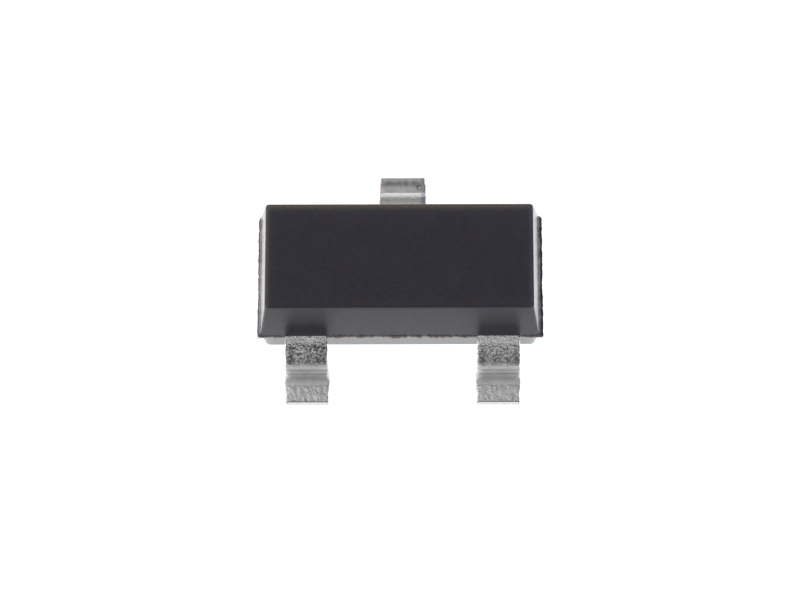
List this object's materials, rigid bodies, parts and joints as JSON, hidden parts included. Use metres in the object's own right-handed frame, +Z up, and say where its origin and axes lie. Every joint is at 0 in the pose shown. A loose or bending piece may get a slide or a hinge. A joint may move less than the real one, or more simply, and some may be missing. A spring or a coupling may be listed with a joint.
{
  "type": "zener diode",
  "caption": "Surface-mount zener diode: a small moulded plastic body on bent gull-wing leads, which clamps a voltage on a circuit board.",
  "frame": {"origin": "centre of the footprint, midway between the lead tips, on the board plane", "axes": "+X along the body, +Y towards the side with the single cathode lead, +Z up off the board"},
  "size_m": [0.0028, 0.0024, 0.0011],
  "materials": {
    "mould_compound": "fine matt grain of a moulded glass-filled epoxy",
    "tinned_lead": "matt tin plate on copper strip, with bare copper at the cut tips",
    "silicon": "sawn silicon with a round metal contact",
    "solder": "dull solder",
    "gold_wire": "drawn gold wire"
  },
  "bodies": {
    "root": {"mould_body": "mould_compound", "anode_lead": "tinned_lead", "spare_lead": "tinned_lead", "cathode_lead": "tinned_lead", "zener_chip": "silicon", "chip_solder": "solder", "bond_wire": "gold_wire"}
  },
  "joints": []
}
